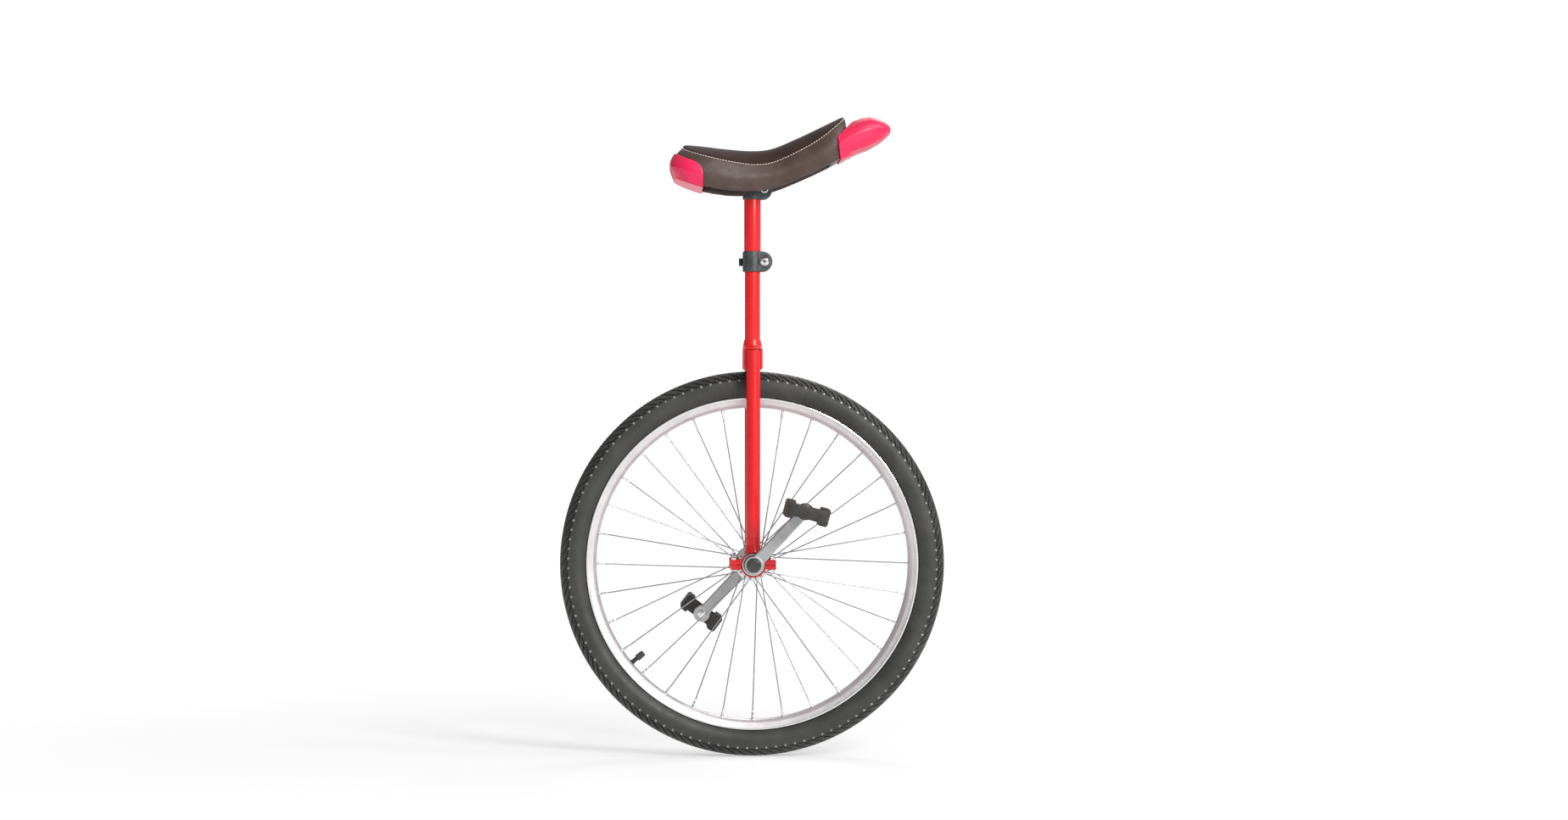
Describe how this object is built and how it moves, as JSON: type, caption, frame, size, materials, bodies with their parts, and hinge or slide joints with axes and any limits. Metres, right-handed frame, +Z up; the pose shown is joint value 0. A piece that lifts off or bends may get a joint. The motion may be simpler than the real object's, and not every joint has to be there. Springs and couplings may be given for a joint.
{
  "type": "unicycle",
  "caption": "Unicycle with a spoked wheel, cranks and pedals on the hub, a two-legged frame and a height-adjustable banana saddle.",
  "frame": {"origin": "where the tyre rests on the ground, under the hub and midway between the legs", "axes": "+X forward, towards the saddle's front bumper; +Z up; -Y is the rider's right; the axle lies along Y"},
  "size_m": [0.604, 0.36, 1.0058],
  "materials": {
    "frame_paint": "gloss red paint",
    "clamp_metal": "dark grey satin casting",
    "tyre": "black tyre rubber with a fine slanted tread",
    "black_rubber": "black butyl rubber",
    "rim_alloy": "satin alloy with polished edges",
    "hub_alloy": "polished alloy",
    "bright_steel": "bright plated steel",
    "crank_alloy": "satin grey",
    "cap_plastic": "dark grey moulded plastic",
    "pedal_plastic": "black moulded plastic",
    "bearing_steel": "ground steel",
    "saddle_cover": "dark brown leather with a pale stitched seam",
    "base_plastic": "black moulded plastic",
    "bumper_plastic": "satin pink plastic"
  },
  "bodies": {
    "frame": {"crown": "frame_paint", "stem": "frame_paint", "leg_right": "frame_paint", "leg_left": "frame_paint", "bearing_cap_right": "frame_paint", "bearing_cap_left": "frame_paint", "bearing_outer_right": "bearing_steel", "bearing_outer_left": "bearing_steel", "cap_bolt_right_front": "bright_steel", "cap_bolt_right_rear": "bright_steel", "cap_bolt_left_front": "bright_steel", "cap_bolt_left_rear": "bright_steel"},
    "wheel": {"tyre": "tyre", "inner_tube": "black_rubber", "rim_strip": "black_rubber", "rim": "rim_alloy", "valve_stem": "black_rubber", "valve_cap": "cap_plastic", "hub_shell": "hub_alloy", "axle": "bearing_steel", "bearing_inner_right": "bearing_steel", "bearing_inner_left": "bearing_steel", "crank_right": "crank_alloy", "crank_left": "crank_alloy", "crank_bolt_right": "bright_steel", "crank_bolt_left": "bright_steel", "dust_cap_right": "cap_plastic", "dust_cap_left": "cap_plastic", "pedal_spindle_right": "bright_steel", "pedal_spindle_left": "bright_steel", "spoke_pair_right_1": "bright_steel", "spoke_pair_right_2": "bright_steel", "spoke_pair_right_3": "bright_steel", "spoke_pair_right_4": "bright_steel", "spoke_pair_right_5": "bright_steel", "spoke_pair_right_6": "bright_steel", "spoke_pair_right_7": "bright_steel", "spoke_pair_right_8": "bright_steel", "spoke_pair_left_1": "bright_steel", "spoke_pair_left_2": "bright_steel", "spoke_pair_left_3": "bright_steel", "spoke_pair_left_4": "bright_steel", "spoke_pair_left_5": "bright_steel", "spoke_pair_left_6": "bright_steel", "spoke_pair_left_7": "bright_steel", "spoke_pair_left_8": "bright_steel"},
    "right_pedal": {"pedal_right": "pedal_plastic"},
    "left_pedal": {"pedal_left": "pedal_plastic"},
    "seatpost": {"saddle_tube": "frame_paint", "seat_clamp": "clamp_metal", "clamp_skewer": "bright_steel", "skewer_nut": "bright_steel"},
    "lever": {"qr_lever": "clamp_metal"},
    "saddle": {"cushion": "saddle_cover", "saddle_base": "base_plastic", "rear_bumper": "bumper_plastic", "front_bumper": "bumper_plastic", "saddle_clamp": "clamp_metal", "saddle_clamp_bolt": "bright_steel", "saddle_clamp_nut": "bright_steel"}
  },
  "joints": [
    {"name": "wheel_spin", "type": "hinge", "parent": "frame", "child": "wheel", "pos_m": [0, 0, 0.302], "axis": [0, 1, 0], "continuous": true},
    {"name": "right_pedal_spin", "type": "hinge", "parent": "wheel", "child": "right_pedal", "pos_m": [0.07916, -0.1325, 0.38542], "axis": [0, 1, 0], "continuous": true},
    {"name": "left_pedal_spin", "type": "hinge", "parent": "wheel", "child": "left_pedal", "pos_m": [-0.07916, 0.1325, 0.21858], "axis": [0, 1, 0], "continuous": true},
    {"name": "seat_height", "type": "slide", "parent": "frame", "child": "seatpost", "axis": [0, 0, 1], "range_m": [-0.055, 0.02]},
    {"name": "lever_open", "type": "hinge", "parent": "seatpost", "child": "lever", "pos_m": [0.0183, 0.019, 0.7764], "axis": [0, 0, -1], "range_deg": [0, 150]},
    {"name": "saddle_swivel", "type": "hinge", "parent": "seatpost", "child": "saddle", "pos_m": [0, 0, 0.89], "axis": [0, 0, 1], "continuous": true}
  ]
}
